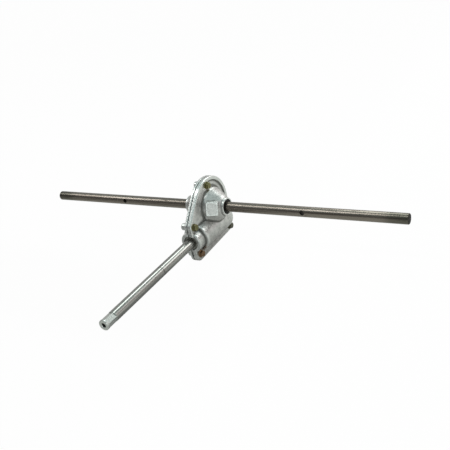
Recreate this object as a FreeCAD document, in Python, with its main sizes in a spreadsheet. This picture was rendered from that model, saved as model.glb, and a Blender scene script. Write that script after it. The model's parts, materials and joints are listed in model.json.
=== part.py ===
import FreeCAD, Part
import math
import os

import Sketcher
from FreeCAD import Placement, Rotation, Vector

# Auger gearbox of a two-stage snow thrower. Millimetres.
# The origin is the centre of the worm wheel, on the joint plane of the casing.
# +X runs along the cross shaft, -Y points to the free end of the input shaft, +Z is up.

doc = FreeCAD.newDocument("AugerGearbox")

# Driving dimensions. Lengths and radii in millimetres, angles in degrees.
sizes = {
    # clearances
    "fit_gap": 0.03,
    "run_gap": 0.05,
    "play": 0.2,
    # cross shaft
    "shaft_r": 9.525,
    "auger_length": 774.7,
    "end_chamfer": 1,
    "relief_gap": 0.3,
    "relief_width": 1.5,
    "relief_depth": 0.3,
    "shear_hole_r": 4.365,
    "shear_hole_x": 200,
    "shear_hole_angle": 12,
    # input shaft
    "input_tip": 344,
    "end_collar": 4,
    "hex_length": 20.5,
    "hex_flats": 15.875,
    "hex_angle": 46.6,
    "tip_chamfer": 0.8,
    "tap_r": 3.97,
    "tap_mouth_r": 4.77,
    "tap_depth": 25,
    "clip_groove_y": 183,
    "clip_groove_width": 1.4,
    "clip_groove_depth": 0.7,
    # worm and wheel
    "centre_distance": 38.1,
    "worm_pitch_r": 13.6,
    "tooth_count": 20,
    "pressure_angle": 20,
    "addendum_factor": 0.9,
    "root_clearance": 0.4,
    "backlash": 0.5,
    "worm_half": 17,
    "collar_length": 10,
    "collar_r": 12.6,
    "worm_tail": 3,
    "pin_r": 2.4,
    "wheel_half": 7,
    "wheel_corner_r": 27.8,
    "wheel_hub_half": 12,
    "wheel_hub_r": 16,
    "web_half": 5,
    "rim_inner_r": 19.2,
    # key, rings and washers on the cross shaft
    "key_r": 9.525,
    "key_width": 4.76,
    "key_height": 7.9,
    "key_stand": 2.4,
    "ring_thickness": 1.2,
    "ring_depth": 0.7,
    "ring_width": 3.2,
    "washer_thickness": 1.5,
    "washer_r": 15.5,
    # bushings and seals
    "bushing_wall": 2.4,
    "bushing_length": 17,
    "bushing_flange": 2,
    "bushing_flange_r": 15,
    "input_bushing_wall": 3.1,
    "front_bushing_length": 25.4,
    "rear_bushing_length": 12,
    "seal_width": 6.35,
    "seal_height": 4.76,
    "seal_wall": 1.4,
    "spring_r": 0.55,
    # needle thrust bearings
    "thrust_r": 15.8,
    "thrust_washer": 0.8,
    "roller_r": 1,
    "roller_length": 3.4,
    "roller_count": 16,
    "cage_thickness": 1.5,
    # casing
    "gasket_thickness": 0.8,
    "chamber_gap": 3.7,
    "case_wall": 5.8,
    "flange_level": 8.8,
    "rim_rise": 2.8,
    "far_level": 6.2,
    "far_rise": 1.8,
    "rim_width": 7,
    "flange_reach": 20.3,
    "hub_fillet": 2.5,
    "hub_wall_x": 13.6,
    "hub_wall_r": 36.2,
    "hub_shoulder_x": 14.8,
    "hub_shoulder_r": 35,
    "hub_middle_x": 25,
    "hub_middle_r": 28.5,
    "hub_top_x": 35,
    "hub_top_r": 21,
    "hub_neck_length": 4.6,
    "neck_wall": 3,
    "seal_pocket": 2.1,
    "pocket_step": 2.8,
    "barrel_gap": 4.7,
    "barrel_wall": 6.5,
    "front_boss_r": 21,
    "front_boss_length": 20,
    "front_rim_round": 3,
    "barrel_round": 1.5,
    "rear_round": 9,
    "rim_round": 2,
    "seal_recess": 3,
    "web_length": 14.15,
    "tail_pocket": 1.5,
    "end_wall": 3.5,
    "notch_half": 2.1,
    "notch_depth": 4.2,
    "upper_notch_length": 8.5,
    "lower_notch_length": 15,
    "dimple_r": 1.2,
    "dimple_depth": 1.6,
    # screws and the ears that carry them
    "screw_r": 3.97,
    "screw_hole_gap": 0.3,
    "screw_depth": 14,
    "screw_head_r": 7.4,
    "screw_washer": 1.4,
    "screw_head_height": 4.6,
    "screw_head_flats": 11.1,
    "screw_pad_r": 8.6,
    "blind_boss_r": 6.8,
    "blind_boss_length": 11,
    "blind_boss_round": 3,
    "screw_circle_gap": 8.2,
    "top_screw_angle": 96.5,
    "rear_screw_angle": -18,
    "upper_ear_y": -72.5,
    "upper_ear_z": -9.1,
    "upper_ear_r": 11.3,
    "lower_ear_y": -70,
    "lower_ear_z": -66,
    "lower_ear_r": 13.8,
    "rear_ear_y": 43,
    "rear_ear_r": 10,
    # flat pad on the near hub
    "label_angle": 15,
    "label_width": 28,
    "label_length": 24,
    "label_thickness": 8,
    "label_proud": 1.6,
    "label_round": 1.5,
}

sheet = doc.addObject("Spreadsheet::Sheet", "Sizes")
for row, (alias, number) in enumerate(sizes.items(), 1):
    sheet.set(f"A{row}", alias)
    sheet.set(f"B{row}", str(number))
    sheet.setAlias(f"B{row}", alias)
doc.recompute()


class Size:
    """A number together with the spreadsheet formula that gives it."""

    def __init__(self, value, formula):
        self.value = float(value)
        self.formula = formula

    @staticmethod
    def of(other):
        return other if isinstance(other, Size) else Size(other, f"{other:g}")

    def __add__(self, other):
        other = Size.of(other)
        return Size(self.value + other.value, f"({self.formula} + {other.formula})")

    def __sub__(self, other):
        other = Size.of(other)
        return Size(self.value - other.value, f"({self.formula} - {other.formula})")

    def __mul__(self, other):
        other = Size.of(other)
        return Size(self.value * other.value, f"{self.formula} * {other.formula}")

    def __truediv__(self, other):
        other = Size.of(other)
        return Size(self.value / other.value, f"{self.formula} / ({other.formula})")

    def __radd__(self, other):
        return Size.of(other) + self

    def __rsub__(self, other):
        return Size.of(other) - self

    def __rmul__(self, other):
        return Size.of(other) * self

    def __neg__(self):
        return Size(-self.value, f"(0 - {self.formula})")


def cosine(angle):
    return Size(math.cos(math.radians(angle.value)), f"cos({angle.formula})")


def sine(angle):
    return Size(math.sin(math.radians(angle.value)), f"sin({angle.formula})")


class Sheet:
    """The cells of the spreadsheet as sizes, by name."""

    def __getattr__(self, alias):
        return Size(sheet.get(alias), f"Sizes.{alias}")


s = Sheet()

# Worm and wheel
wheel_pitch_r = s.centre_distance - s.worm_pitch_r
module = wheel_pitch_r * 2 / s.tooth_count
lead = module * math.pi
addendum = module * s.addendum_factor
worm_outer_r = s.worm_pitch_r + addendum
worm_root_r = s.worm_pitch_r - addendum - s.root_clearance

# Stations along the cross shaft, outwards from the joint plane
half_gasket = s.gasket_thickness / 2
ring_x = s.wheel_hub_half + s.play / 2
washer_x = ring_x + s.ring_thickness + s.play
bushing_flange_x = washer_x + s.washer_thickness + s.play
bushing_x = bushing_flange_x + s.bushing_flange
bushing_end_x = bushing_x + s.bushing_length
seal_x = bushing_end_x + s.seal_pocket
case_half = seal_x + s.seal_width

# Stations along the input shaft; the free end is at negative y
thrust_stack = s.thrust_washer * 2 + s.roller_r * 2 + s.play * 2
worm_front_y = -(s.worm_half + s.collar_length)
worm_rear_y = s.worm_half + s.worm_tail
chamber_front_y = worm_front_y - thrust_stack
chamber_rear_y = worm_rear_y + thrust_stack
front_bushing_y = chamber_front_y - s.web_length - s.front_bushing_length
front_seal_y = front_bushing_y - s.seal_pocket - s.seal_width
front_face_y = front_seal_y - s.seal_recess
rear_bushing_end_y = chamber_rear_y + s.rear_bushing_length
tail_end_y = rear_bushing_end_y + s.tail_pocket
rear_face_y = tail_end_y + s.end_wall

# Radii of the bores and walls of the casing
bore_r = s.shaft_r + s.run_gap
bushing_r = bore_r + s.bushing_wall
input_bushing_r = bore_r + s.input_bushing_wall
seal_r = s.shaft_r + s.seal_height
chamber_r = s.wheel_corner_r + s.chamber_gap
washer_chamber_r = s.wheel_hub_r + s.pocket_step / 2
barrel_chamber_r = worm_outer_r + s.barrel_gap
barrel_r = barrel_chamber_r + s.barrel_wall
hub_base_r = chamber_r + s.case_wall
neck_r = seal_r + s.fit_gap + s.neck_wall
outline_r = hub_base_r + s.flange_reach
screw_circle_r = hub_base_r + s.screw_circle_gap
worm_z = -s.centre_distance

# Where the screws go through the flange, as y and z
screw_places = [
    (screw_circle_r * cosine(s.top_screw_angle), screw_circle_r * sine(s.top_screw_angle)),
    (screw_circle_r * cosine(s.rear_screw_angle), screw_circle_r * sine(s.rear_screw_angle)),
    (s.upper_ear_y, s.upper_ear_z),
    (s.lower_ear_y, s.lower_ear_z),
    (s.rear_ear_y, s.lower_ear_z),
]

turn_to_y = Rotation(Vector(0, 0, 1), 90)
turn_to_x = Rotation(Vector(0, 1, 0), 90)


def plane_of(body, role):
    for item in body.Origin.OriginFeatures:
        if item.Role == role:
            return item


def bind_point(sketch, curve, end, x, y):
    """Holds one end of a curve at x, y from the sketch's origin."""
    for kind, size in (("DistanceX", x), ("DistanceY", y)):
        index = sketch.addConstraint(Sketcher.Constraint(kind, -1, 1, curve, end, size.value))
        sketch.setExpression(f"Constraints[{index}]", size.formula)


def new_sketch(body, role):
    sketch = body.newObject("Sketcher::SketchObject", body.Label + "_sketch")
    sketch.AttachmentSupport = (plane_of(body, role), [""])
    sketch.MapMode = "FlatFace"
    return sketch


def quarter_round(start, end, radius):
    """The quarter circle from start to end, and whether it is drawn from end to start.
    A positive radius bulges out of an outline that runs anticlockwise, a negative one in."""
    for centre in (Vector(start.x, end.y), Vector(end.x, start.y)):
        a, b = start - centre, end - centre
        if (a.x * b.y - a.y * b.x) * radius > 0:
            break
    from_point, to_point = (a, b) if radius > 0 else (b, a)
    from_angle = math.atan2(from_point.y, from_point.x)
    to_angle = math.atan2(to_point.y, to_point.x)
    circle = Part.Circle(centre, Vector(0, 0, 1), abs(radius))
    return Part.ArcOfCircle(circle, from_angle, to_angle), radius < 0


def closed_outline(sketch, outline):
    """Draws straight runs from point to point, anticlockwise. A third item in a point is the
    radius of a quarter round that leads to it, bulging out when positive, hollow when not."""
    outline = [tuple(Size.of(item) for item in point) for point in outline]
    count = len(outline)
    spots = [Vector(point[0].value, point[1].value) for point in outline]
    backward = []
    for i in range(count):
        start, end = spots[i], spots[(i + 1) % count]
        target = outline[(i + 1) % count]
        if len(target) == 3:
            curve, is_backward = quarter_round(start, end, target[2].value)
            sketch.addGeometry(curve, False)
            radius = target[2] if target[2].value > 0 else -target[2]
            index = sketch.addConstraint(Sketcher.Constraint("Radius", i, radius.value))
            sketch.setExpression(f"Constraints[{index}]", radius.formula)
        else:
            sketch.addGeometry(Part.LineSegment(start, end), False)
            is_backward = False
        backward.append(is_backward)
    for i in range(count):
        before = (i - 1) % count
        first = 2 if backward[i] else 1
        last = 1 if backward[before] else 2
        bind_point(sketch, i, first, outline[i][0], outline[i][1])
        sketch.addConstraint(Sketcher.Constraint("Coincident", before, last, i, first))


def turned(label, outline, along="X", z=None):
    """A body of revolution: the outline is distance along the axis, then radius."""
    body = doc.addObject("PartDesign::Body", label)
    body.Label = label
    sketch = new_sketch(body, "XY_Plane")
    closed_outline(sketch, outline)
    turn = body.newObject("PartDesign::Revolution", label + "_turn")
    turn.Profile = sketch
    turn.ReferenceAxis = (sketch, ["H_Axis"])
    turn.Angle = 360
    sketch.Visibility = False
    if along == "Y":
        body.Placement = Placement(Vector(0, 0, 0), turn_to_y)
    if z is not None:
        body.setExpression("Placement.Base.z", z.formula)
    return body


def rod(label, radius, length, base=(0, 0, 0), rotation=Rotation()):
    """A cylinder whose sizes and foot are bound to the sheet."""
    item = doc.addObject("Part::Cylinder", label)
    item.Placement = Placement(Vector(0, 0, 0), rotation)
    item.setExpression("Radius", radius.formula)
    item.setExpression("Height", length.formula)
    for letter, size in zip("xyz", base):
        if isinstance(size, Size):
            item.setExpression(f"Placement.Base.{letter}", size.formula)
    return item


def block(label, length, width, height, base):
    """A box whose sizes and corner are bound to the sheet."""
    item = doc.addObject("Part::Box", label)
    for name, size in (("Length", length), ("Width", width), ("Height", height)):
        item.setExpression(name, Size.of(size).formula)
    for letter, size in zip("xyz", base):
        item.setExpression(f"Placement.Base.{letter}", Size.of(size).formula)
    return item


def joined(label, items, refine=True):
    item = doc.addObject("Part::MultiFuse", label)
    item.Shapes = items
    item.Refine = refine
    return item


def cut(label, base, tool):
    item = doc.addObject("Part::Cut", label)
    item.Base = base
    item.Tool = tool
    return item


def common(label, base, tool):
    item = doc.addObject("Part::Common", label)
    item.Base = base
    item.Tool = tool
    return item


def plain(label, shape):
    """A feature whose shape is worked out from the sheet in this file."""
    item = doc.addObject("Part::Feature", label)
    item.Shape = shape
    return item


def copies(label, source, places):
    """A group of separate solids, one copy of the source at each placement."""
    doc.recompute()
    group = [source.Shape.transformed(place.toMatrix()) for place in places]
    return plain(label, Part.makeCompound(group))


def tangent_line(first, second):
    """The outer tangent of two circles given as y, z, radius, on the left of the way
    from the first to the second."""
    (y1, z1, r1), (y2, z2, r2) = first, second
    distance = math.hypot(y2 - y1, z2 - z1)
    turn = math.atan2(z2 - z1, y2 - y1) + math.acos((r1 - r2) / distance)
    way = Vector(math.cos(turn), math.sin(turn))
    return Vector(y1, z1) + way * r1, Vector(y2, z2) + way * r2


def flange_sketch(body, inset):
    """The outline of the flange: a round end about the wheel and three ears, joined by
    their outer tangents. inset draws it that much smaller all round."""
    places = [(Size.of(0), Size.of(0), outline_r)]
    for place, ear_r in zip(screw_places[2:], (s.upper_ear_r, s.lower_ear_r, s.rear_ear_r)):
        places.append((place[0], place[1], ear_r))
    circles = [(y.value, z.value, r.value - inset.value) for y, z, r in places]
    count = len(circles)
    order = list(range(count))
    # the ears follow each other clockwise from the front, so the way round is reversed
    runs = []
    for i in order:
        runs.append(tangent_line(circles[(i + 1) % count], circles[i]))
    sketch = new_sketch(body, "YZ_Plane")
    for near, far in runs:
        sketch.addGeometry(Part.LineSegment(far, near), False)
    for i in order:
        y, z, r = circles[i]
        arrives = runs[i - 1][0]
        leaves = runs[i][1]
        a = math.atan2(arrives.y - z, arrives.x - y)
        b = math.atan2(leaves.y - z, leaves.x - y)
        circle = Part.Circle(Vector(y, z, 0), Vector(0, 0, 1), r)
        sketch.addGeometry(Part.ArcOfCircle(circle, a, b), False)
    for i, (y, z, r) in enumerate(places):
        arc = count + i
        bind_point(sketch, arc, 3, y, z)
        index = sketch.addConstraint(Sketcher.Constraint("Radius", arc, (r - inset).value))
        sketch.setExpression(f"Constraints[{index}]", (r - inset).formula)
        sketch.addConstraint(Sketcher.Constraint("Tangent", i, 1, arc, 2))
        sketch.addConstraint(Sketcher.Constraint("Tangent", (i - 1) % count, 2, arc, 1))
    return sketch


def flange_plate(label, start, thickness, inset, edge=None):
    """A plate of the flange outline, from start along +X, its outer edge rounded on request."""
    body = doc.addObject("PartDesign::Body", label)
    body.Label = label
    sketch = flange_sketch(body, inset)
    pad = body.newObject("PartDesign::Pad", label + "_pad")
    pad.Profile = sketch
    pad.setExpression("Length", thickness.formula)
    sketch.Visibility = False
    if edge:
        doc.recompute()
        names = []
        for i, line in enumerate(pad.Shape.Edges, 1):
            if min(v.X for v in line.Vertexes) > thickness.value - 1e-6:
                names.append(f"Edge{i}")
        rounded = body.newObject("PartDesign::Fillet", label + "_edge")
        rounded.Base = (pad, names)
        rounded.setExpression("Radius", edge.formula)
    body.setExpression("Placement.Base.x", start.formula)
    return body


# Outside of a casing half, as the near half stands


def hub_outside(name, panel_x):
    neck_x = case_half - s.hub_neck_length
    return turned(f"{name}_hub", [
        (half_gasket, 0),
        (case_half, 0),
        (case_half, neck_r - s.end_chamfer / 2),
        (case_half - s.end_chamfer / 2, neck_r),
        (neck_x, neck_r),
        (s.hub_top_x, s.hub_top_r),
        (s.hub_middle_x, s.hub_middle_r),
        (s.hub_shoulder_x, s.hub_shoulder_r),
        (s.hub_wall_x, s.hub_wall_r),
        (panel_x + s.hub_fillet, hub_base_r),
        (panel_x, hub_base_r + s.hub_fillet, -s.hub_fillet),
        (half_gasket, hub_base_r + s.hub_fillet),
    ])


def barrel_outside():
    step_y = front_face_y + s.front_boss_length
    return turned("barrel_outside", [
        (front_face_y, 0),
        (rear_face_y, 0),
        (rear_face_y, barrel_r - s.rear_round),
        (rear_face_y - s.rear_round, barrel_r, s.rear_round),
        (step_y + s.barrel_round, barrel_r),
        (step_y, barrel_r - s.barrel_round, s.barrel_round),
        (step_y, s.front_boss_r),
        (front_face_y + s.front_rim_round, s.front_boss_r),
        (front_face_y, s.front_boss_r - s.front_rim_round, s.front_rim_round),
    ], along="Y", z=worm_z)


def half_outside(name, level, rise, barrel):
    """One side of the joint: flange, hub and half barrel. Between the top and the rear screw
    the flange is let down behind a raised rim."""
    panel_x = level - rise
    reach = outline_r * 2
    panel = flange_plate(f"{name}_panel", half_gasket, panel_x - half_gasket, Size.of(0))
    rim = flange_plate(f"{name}_rim", half_gasket, level - half_gasket, Size.of(0),
                       edge=s.rim_round)
    inside = flange_plate(f"{name}_inside", half_gasket, level, s.rim_width)
    corner = block(f"{name}_corner", case_half, reach, reach,
                   (0, screw_places[0][0], screw_places[1][1]))
    pads = [
        rod(f"{name}_pad_{i}", s.screw_pad_r, level - half_gasket, (half_gasket, y, z), turn_to_x)
        for i, (y, z) in enumerate(screw_places)
    ]
    lowered = cut(f"{name}_lowered", rim, common(f"{name}_recess", inside, corner))
    flange = common(f"{name}_flange", joined(f"{name}_blank", [panel, lowered] + pads), rim)
    everything = joined(f"{name}_everything", [flange, hub_outside(name, panel_x), barrel])
    side = block(f"{name}_side", case_half, reach * 2, reach * 2, (half_gasket, -reach, -reach))
    return common(f"{name}_outside", everything, side)


# Hollows of the casing, the same on both sides of the joint


def wheel_hollow():
    """Seal bores, bushing bores, washer pockets and the wheel chamber about the cross shaft."""
    wheel_wall = s.wheel_half + s.play * 12
    seal_bore_r = seal_r + s.fit_gap
    bushing_bore_r = bushing_r + s.fit_gap
    pocket_r = bushing_bore_r - s.pocket_step / 2
    beyond = case_half + s.end_chamfer
    steps = [
        (wheel_wall, chamber_r),
        (bushing_x, washer_chamber_r),
        (bushing_end_x, bushing_bore_r),
        (seal_x, pocket_r),
        (beyond, seal_bore_r),
    ]
    right = []
    inner = Size.of(0)
    for x, r in steps:
        right += [(inner, r), (x, r)]
        inner = x
    left = [(-x, r) for x, r in reversed(right)]
    outline = [(-beyond, 0)] + left[:-1] + right[1:] + [(beyond, 0)]
    return turned("wheel_hollow", outline)


def worm_hollow():
    """Seal bore, bushing bores and the worm chamber about the input shaft."""
    bushing_bore_r = input_bushing_r + s.fit_gap
    passage_r = s.shaft_r + s.play * 4
    pocket_r = bushing_bore_r - s.pocket_step / 2
    web_y = chamber_front_y - s.web_length
    beyond = front_face_y - s.end_chamfer * 4
    steps = [
        (beyond, front_seal_y + s.seal_width, seal_r + s.fit_gap),
        (front_seal_y + s.seal_width, front_bushing_y, pocket_r),
        (front_bushing_y, web_y, bushing_bore_r),
        (web_y, chamber_front_y, passage_r),
        (chamber_front_y, chamber_rear_y, barrel_chamber_r),
        (chamber_rear_y, rear_bushing_end_y, bushing_bore_r),
        (rear_bushing_end_y, tail_end_y, pocket_r),
    ]
    outline = [(beyond, 0)]
    for start, end, r in steps:
        outline += [(start, r), (end, r)]
    outline.append((tail_end_y, 0))
    return turned("worm_hollow", outline, along="Y", z=worm_z)


# Casing pieces


def label_pad():
    """The flat pad on the hub, square to the cone's slope, with rounded corners."""
    foot = Vector(s.hub_shoulder_x.value, s.hub_shoulder_r.value)
    top = Vector(s.hub_top_x.value, s.hub_top_r.value)
    turn = math.radians(s.label_angle.value)
    radial = Vector(0, -math.cos(turn), math.sin(turn))
    down = (foot - top).normalize()
    along = Vector(-down.x, 0, 0) - radial * down.y
    out = Vector(0, 0, 0) + Vector(down.y, 0, 0) - radial * down.x
    across = out.cross(along)
    middle = (foot + top) / 2
    centre = Vector(middle.x, 0, 0) + radial * middle.y + out * s.label_proud.value
    length, width = s.label_length.value, s.label_width.value
    thickness = s.label_thickness.value
    box = Part.makeBox(length, width, thickness, Vector(-length / 2, -width / 2, -thickness))
    upright = [e for e in box.Edges if abs(e.tangentAt(e.FirstParameter).z) > 0.9]
    box = box.makeFillet(s.label_round.value * 2, upright)
    rim = [e for e in box.Edges if min(v.Z for v in e.Vertexes) > -1e-6]
    box = box.makeFillet(s.label_round.value / 2, rim)
    item = plain("label_pad", box)
    item.Placement = Placement(centre, Rotation(along, across, out, "ZXY"))
    return item


def screw_tools(label, radius, start, length):
    """Rods at every screw place, for holes and bosses."""
    rods = [
        rod(f"{label}_{i}", radius, length, (start, y, z), turn_to_x)
        for i, (y, z) in enumerate(screw_places)
    ]
    return joined(label, rods)


def blind_bosses():
    """Round-ended bosses on the far half, one behind every screw."""
    end = -(s.far_level + s.blind_boss_length)
    boss = turned("blind_boss", [
        (end, 0),
        (-half_gasket * 2, 0),
        (-half_gasket * 2, s.blind_boss_r),
        (end + s.blind_boss_round, s.blind_boss_r),
        (end, s.blind_boss_r - s.blind_boss_round, s.blind_boss_round),
    ])
    places = [Placement(Vector(0, y.value, z.value), Rotation()) for y, z in screw_places]
    return copies("blind_bosses", boss, places)


def pry_notches():
    """Slots across the joint in its front edge, above and below the input bore."""
    top_z = worm_z + s.front_boss_r + s.notch_half * 2
    foot_z = worm_z - seal_r - s.lower_notch_length + s.notch_half
    front_y = front_face_y - s.notch_depth / 2
    return joined("pry_notches", [
        block(f"pry_notch_{i}", s.notch_half * 2, s.notch_depth, height,
              (-s.notch_half, front_y, low))
        for i, (low, height) in enumerate((
            (top_z - s.upper_notch_length, s.upper_notch_length),
            (foot_z, s.lower_notch_length),
        ))
    ])


def dimples():
    """Two small round marks moulded into the near side of the barrel."""
    places = ((s.dimple_r * 14, s.dimple_r * 2), (s.dimple_r * 20.5, -s.dimple_r * 2))
    start = barrel_r - s.dimple_depth
    return joined("dimples", [
        rod(f"dimple_{i}", s.dimple_r, s.dimple_depth * 2, (start, y, worm_z + drop), turn_to_x)
        for i, (y, drop) in enumerate(places)
    ])


def casing():
    barrel = barrel_outside()
    outside = half_outside("near", s.flange_level, s.rim_rise, barrel)
    hollow = joined("hollow", [wheel_hollow(), worm_hollow(), pry_notches()])
    clear_r = s.screw_r + s.screw_hole_gap
    through = screw_tools("screw_clearance", clear_r, Size.of(0) - half_gasket, s.flange_level * 2)
    seats = screw_tools("screw_seats", s.screw_pad_r, s.flange_level, s.screw_head_r * 2)
    near = joined("near_outside", [outside, label_pad()])
    near = cut("near_hollowed", near, hollow)
    near = cut("near_seated", near, seats)
    right_case = cut("right_case", cut("near_marked", near, dimples()), through)

    far = doc.addObject("Part::Mirroring", "far_mirrored")
    far.Source = half_outside("far", s.far_level, s.far_rise, barrel)
    far.Normal = Vector(1, 0, 0)
    far = cut("far_hollowed", joined("far_bossed", [far, blind_bosses()]), hollow)
    bore_length = s.screw_depth + s.play * 5
    bores = screw_tools("screw_bores", s.screw_r + s.fit_gap, -bore_length, bore_length)
    left_case = cut("left_case", far, bores)

    sheet_blank = flange_plate("gasket_blank", -half_gasket, s.gasket_thickness, Size.of(0))
    gasket = cut("case_gasket", cut("gasket_open", sheet_blank, hollow), through)
    return [right_case, left_case, gasket]


def hex_prism(label, flats, length, base, rotation):
    """A hexagonal bar: flats is the width across the flats."""
    item = doc.addObject("Part::Prism", label)
    item.Polygon = 6
    item.Placement = Placement(Vector(0, 0, 0), rotation)
    item.setExpression("Circumradius", f"{flats.formula} / sqrt(3)")
    item.setExpression("Height", length.formula)
    for letter, size in zip("xyz", base):
        item.setExpression(f"Placement.Base.{letter}", Size.of(size).formula)
    return item


def case_screws():
    """Washer-head hexagon screws; one is made at the joint's origin and copied."""
    washer_top = s.flange_level + s.screw_washer
    head_top = washer_top + s.screw_head_height
    shank = turned("screw_shank", [
        (-s.screw_depth, 0),
        (washer_top, 0),
        (washer_top, s.screw_head_flats / 2),
        (s.flange_level + s.screw_washer / 2, s.screw_head_r),
        (s.flange_level, s.screw_head_r),
        (s.flange_level, s.screw_r),
        (-s.screw_depth + s.end_chamfer, s.screw_r),
        (-s.screw_depth, s.screw_r - s.end_chamfer),
    ])
    head = hex_prism("screw_hex", s.screw_head_flats, s.screw_head_height + s.screw_washer / 2,
                     (s.flange_level + s.screw_washer / 2, 0, 0), turn_to_x)
    crown = turned("screw_crown", [
        (s.flange_level, 0),
        (head_top, 0),
        (head_top, s.screw_head_flats / 2),
        (head_top - s.end_chamfer, s.screw_head_flats / math.sqrt(3)),
        (s.flange_level, s.screw_head_flats / math.sqrt(3)),
    ])
    screw = joined("screw", [shank, common("screw_head", head, crown)])
    places = [
        Placement(Vector(0, y.value, z.value), Rotation(Vector(1, 0, 0), 17 * i))
        for i, (y, z) in enumerate(screw_places)
    ]
    return copies("case_screws", screw, places)


# Bushings, seals and thrust bearings


def flanged_bushing(label, side):
    outline = [
        (bushing_flange_x, bore_r),
        (bushing_end_x, bore_r),
        (bushing_end_x, bushing_r),
        (bushing_x, bushing_r),
        (bushing_x, s.bushing_flange_r),
        (bushing_flange_x, s.bushing_flange_r),
    ]
    return turned(label, [(x * side, r) for x, r in outline])


def plain_bushing(label, start, end):
    return turned(label, [
        (start, bore_r),
        (end, bore_r),
        (end, input_bushing_r - s.fit_gap),
        (start, input_bushing_r - s.fit_gap),
    ], along="Y", z=worm_z)


def seal_outline(inner_face, outward):
    """Section of a lip seal, from its inner face outwards."""
    lip_r = s.shaft_r + s.run_gap
    root_r = s.shaft_r + s.seal_wall
    spring_seat_r = root_r + s.seal_wall / 2
    web = s.seal_width - s.seal_wall * 1.5
    section = [
        (0, seal_r),
        (s.seal_width, seal_r),
        (s.seal_width, root_r),
        (s.seal_width - s.seal_wall / 2, lip_r),
        (s.seal_width - s.seal_wall, root_r),
        (s.seal_wall * 2, root_r),
        (s.seal_wall, lip_r),
        (s.seal_wall / 2, root_r),
        (s.seal_wall / 2, spring_seat_r),
        (web, spring_seat_r),
        (web, seal_r - s.seal_wall),
        (0, seal_r - s.seal_wall),
    ]
    return [(inner_face + Size.of(a) * outward, r) for a, r in section]


def garter_springs():
    """A ring round the back of each seal lip."""
    ring_r = s.shaft_r + s.seal_wall * 1.5 + s.spring_r + s.fit_gap
    depth = s.seal_wall / 2 + s.spring_r * 2
    ring = doc.addObject("Part::Torus", "garter_spring")
    ring.setExpression("Radius1", ring_r.formula)
    ring.setExpression("Radius2", s.spring_r.formula)
    along_y = Rotation(Vector(1, 0, 0), 90)
    front = front_seal_y + s.seal_width - depth
    return copies("garter_springs", ring, [
        Placement(Vector((seal_x + depth).value, 0, 0), turn_to_x),
        Placement(Vector(-(seal_x + depth).value, 0, 0), turn_to_x),
        Placement(Vector(0, front.value, worm_z.value), along_y),
    ])


def washer_stack():
    """Stations of the two thrust bearings: case washer, rollers and worm washer."""
    stations = []
    for wall_y, way in ((chamber_front_y, 1), (chamber_rear_y, -1)):
        case_y = wall_y + s.play * 0.5 * way
        roller_y = case_y + (s.thrust_washer + s.play * 0.5 + s.roller_r) * way
        worm_y = roller_y + (s.roller_r + s.play * 0.5) * way
        stations.append((case_y, roller_y, worm_y, way))
    return stations


def thrust_washer(label, start, way, inner_r):
    end = start + s.thrust_washer * way
    return turned(label, [
        (start, inner_r),
        (end, inner_r),
        (end, s.thrust_r),
        (start, s.thrust_r),
    ], along="Y", z=worm_z)


def grouped(label, items):
    """One node holding several separate solids."""
    item = doc.addObject("Part::Compound", label)
    item.Links = items
    return item


def thrust_bearings():
    loose_r = s.shaft_r + s.play * 2
    case_washers, worm_washers, cages, rollers = [], [], [], []
    roller_mid = (loose_r.value + s.thrust_r.value) / 2
    count = int(s.roller_count.value)
    for i, (case_y, roller_y, worm_y, way) in enumerate(washer_stack()):
        case_washers.append(thrust_washer(f"case_thrust_washer_{i}", case_y, way, loose_r))
        worm_washers.append(thrust_washer(f"worm_thrust_washer_{i}", worm_y, way, bore_r))
        cage = turned(f"cage_ring_{i}", [
            (roller_y - s.cage_thickness / 2, loose_r),
            (roller_y + s.cage_thickness / 2, loose_r),
            (roller_y + s.cage_thickness / 2, s.thrust_r),
            (roller_y - s.cage_thickness / 2, s.thrust_r),
        ], along="Y", z=worm_z)
        windows = []
        for k in range(count):
            turn = Rotation(Vector(0, 1, 0), 360 * k / count)
            centre = Vector(0, roller_y.value, worm_z.value)
            for room, found in ((0, rollers), (s.run_gap.value * 2, windows)):
                length = s.roller_length.value + room * 2
                start = Vector(0, 0, roller_mid - length / 2)
                needle = Part.makeCylinder(s.roller_r.value + room, length, start)
                needle.Placement = Placement(centre, turn) * needle.Placement
                found.append(needle)
        holes = plain(f"cage_windows_{i}", Part.makeCompound(windows))
        cages.append(cut(f"thrust_cage_{i}", cage, holes))
    return [
        grouped("case_thrust_washers", case_washers),
        grouped("worm_thrust_washers", worm_washers),
        grouped("thrust_cages", cages),
        plain("thrust_rollers", Part.makeCompound(rollers)),
    ]


# Cross shaft and what turns with it


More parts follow.
